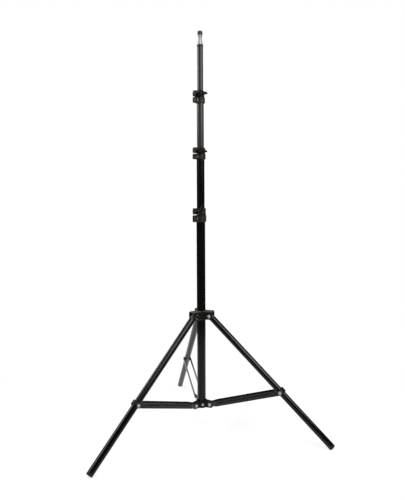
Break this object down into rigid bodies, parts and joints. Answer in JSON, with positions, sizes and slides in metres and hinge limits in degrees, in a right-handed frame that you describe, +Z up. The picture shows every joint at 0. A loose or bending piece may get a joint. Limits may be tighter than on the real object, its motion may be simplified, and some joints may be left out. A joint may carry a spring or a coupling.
{
  "type": "tripod light stand",
  "caption": "Tripod light stand with telescoping tubes held by knob clamps, folding braced legs on a sliding collar, and a capped spigot on top.",
  "frame": {"origin": "on the floor under the column, at the centre of the circle of feet", "axes": "+Z up along the column, +Y along the rear leg"},
  "size_m": [0.7234, 0.6291, 1.2412],
  "materials": {
    "tube": "gloss black coated aluminium tube",
    "riser_tube": "satin black anodised aluminium tube with fine lengthwise streaks",
    "leg_tube": "gloss black coated aluminium tube",
    "brace": "black painted steel strip",
    "moulding": "moulded charcoal plastic with a fine grain",
    "knob": "moulded charcoal plastic",
    "guide": "plain moulded plastic",
    "rubber": "matt black rubber",
    "bright_steel": "bright plated steel",
    "spigot_metal": "turned bright aluminium"
  },
  "bodies": {
    "base": {"base_tube": "tube", "hub": "moulding", "hub_screws": "bright_steel", "hub_rivets": "bright_steel", "lower_clamp": "moulding", "lower_clamp_nuts": "bright_steel", "lower_clamp_screw": "bright_steel"},
    "collar": {"leg_collar": "moulding", "leg_rivets": "bright_steel", "collar_bolt": "bright_steel", "collar_washer": "bright_steel"},
    "collar_knob": {"collar_knob": "knob"},
    "rear_leg": {"rear_leg_tube": "leg_tube", "rear_leg_plug": "moulding", "rear_foot": "rubber", "rear_leg_clip": "moulding"},
    "left_leg": {"left_leg_tube": "leg_tube", "left_leg_plug": "moulding", "left_foot": "rubber", "left_leg_clip": "moulding"},
    "right_leg": {"right_leg_tube": "leg_tube", "right_leg_plug": "moulding", "right_foot": "rubber", "right_leg_clip": "moulding"},
    "rear_brace": {"rear_brace_bar_a": "brace", "rear_brace_bar_b": "brace", "rear_brace_rivets": "bright_steel"},
    "left_brace": {"left_brace_bar_a": "brace", "left_brace_bar_b": "brace", "left_brace_rivets": "bright_steel"},
    "right_brace": {"right_brace_bar_a": "brace", "right_brace_bar_b": "brace", "right_brace_rivets": "bright_steel"},
    "lower_knob": {"lower_clamp_knob": "knob", "lower_clamp_bolt": "bright_steel"},
    "lower_guide": {"lower_guide": "guide"},
    "lower_riser": {"lower_riser": "tube", "middle_clamp": "moulding", "middle_clamp_nuts": "bright_steel", "middle_clamp_screw": "bright_steel"},
    "middle_knob": {"middle_clamp_knob": "knob", "middle_clamp_bolt": "bright_steel"},
    "middle_guide": {"middle_guide": "guide"},
    "middle_riser": {"middle_riser": "riser_tube", "upper_clamp": "moulding", "upper_clamp_nuts": "bright_steel", "upper_clamp_screw": "bright_steel"},
    "upper_knob": {"upper_clamp_knob": "knob", "upper_clamp_bolt": "bright_steel"},
    "upper_guide": {"upper_guide": "guide"},
    "upper_riser": {"upper_riser": "riser_tube", "ferrule": "moulding", "spigot": "spigot_metal"},
    "cap": {"spigot_cap": "rubber"}
  },
  "joints": [
    {"name": "collar_slide", "type": "slide", "parent": "base", "child": "collar", "axis": [0, 0, 1], "range_m": [0, 0.25992]},
    {"name": "rear_leg_hinge", "type": "hinge", "parent": "collar", "child": "rear_leg", "pos_m": [0, 0.02898, 0.38093], "axis": [-1, 0, 0], "range_deg": [0, 42.41]},
    {"name": "left_leg_hinge", "type": "hinge", "parent": "collar", "child": "left_leg", "pos_m": [-0.0251, -0.01449, 0.38093], "axis": [0.5, -0.866, 0], "range_deg": [0, 42.41]},
    {"name": "right_leg_hinge", "type": "hinge", "parent": "collar", "child": "right_leg", "pos_m": [0.0251, -0.01449, 0.38093], "axis": [0.5, 0.866, 0], "range_deg": [0, 42.41]},
    {"name": "rear_brace_hinge", "type": "hinge", "parent": "base", "child": "rear_brace", "pos_m": [0, 0.02898, 0.09486], "axis": [-1, 0, 0], "range_deg": [-69.61, 0]},
    {"name": "left_brace_hinge", "type": "hinge", "parent": "base", "child": "left_brace", "pos_m": [-0.0251, -0.01449, 0.09486], "axis": [0.5, -0.866, 0], "range_deg": [-69.61, 0]},
    {"name": "right_brace_hinge", "type": "hinge", "parent": "base", "child": "right_brace", "pos_m": [0.0251, -0.01449, 0.09486], "axis": [0.5, 0.866, 0], "range_deg": [-69.61, 0]},
    {"name": "collar_knob_turn", "type": "hinge", "parent": "collar", "child": "collar_knob", "pos_m": [-0.0251, -0.01449, 0.38093], "axis": [0.5, -0.866, 0], "range_deg": [0, 360]},
    {"name": "lower_knob_turn", "type": "hinge", "parent": "base", "child": "lower_knob", "pos_m": [-0.01722, -0.00915, 0.70686], "axis": [0.4695, -0.8829, 0], "range_deg": [0, 360]},
    {"name": "lower_slide", "type": "slide", "parent": "base", "child": "lower_guide", "axis": [0, 0, 1], "range_m": [-0.128, 0.3]},
    {"name": "lower_swivel", "type": "hinge", "parent": "lower_guide", "child": "lower_riser", "pos_m": [0, 0, 0], "axis": [0, 0, 1], "continuous": true},
    {"name": "middle_knob_turn", "type": "hinge", "parent": "lower_riser", "child": "middle_knob", "pos_m": [-0.01589, -0.00845, 0.89111], "axis": [0.4695, -0.8829, 0], "range_deg": [0, 360]},
    {"name": "middle_slide", "type": "slide", "parent": "lower_riser", "child": "middle_guide", "axis": [0, 0, 1], "range_m": [-0.112, 0.315]},
    {"name": "middle_swivel", "type": "hinge", "parent": "middle_guide", "child": "middle_riser", "pos_m": [0, 0, 0], "axis": [0, 0, 1], "continuous": true},
    {"name": "upper_knob_turn", "type": "hinge", "parent": "middle_riser", "child": "upper_knob", "pos_m": [-0.01457, -0.00775, 1.05811], "axis": [0.4695, -0.8829, 0], "range_deg": [0, 360]},
    {"name": "upper_slide", "type": "slide", "parent": "middle_riser", "child": "upper_guide", "axis": [0, 0, 1], "range_m": [-0.115, 0.33]},
    {"name": "upper_swivel", "type": "hinge", "parent": "upper_guide", "child": "upper_riser", "pos_m": [0, 0, 0], "axis": [0, 0, 1], "continuous": true},
    {"name": "cap_lift", "type": "slide", "parent": "upper_riser", "child": "cap", "axis": [0, 0, 1], "range_m": [0, 0.03]}
  ],
  "couplings": [
    {"joint": "rear_leg_hinge", "follows": "collar_slide", "rad_per_m": 2.8471},
    {"joint": "left_leg_hinge", "follows": "collar_slide", "rad_per_m": 2.8471},
    {"joint": "right_leg_hinge", "follows": "collar_slide", "rad_per_m": 2.8471},
    {"joint": "rear_brace_hinge", "follows": "collar_slide", "rad_per_m": -4.6739},
    {"joint": "left_brace_hinge", "follows": "collar_slide", "rad_per_m": -4.6739},
    {"joint": "right_brace_hinge", "follows": "collar_slide", "rad_per_m": -4.6739}
  ]
}
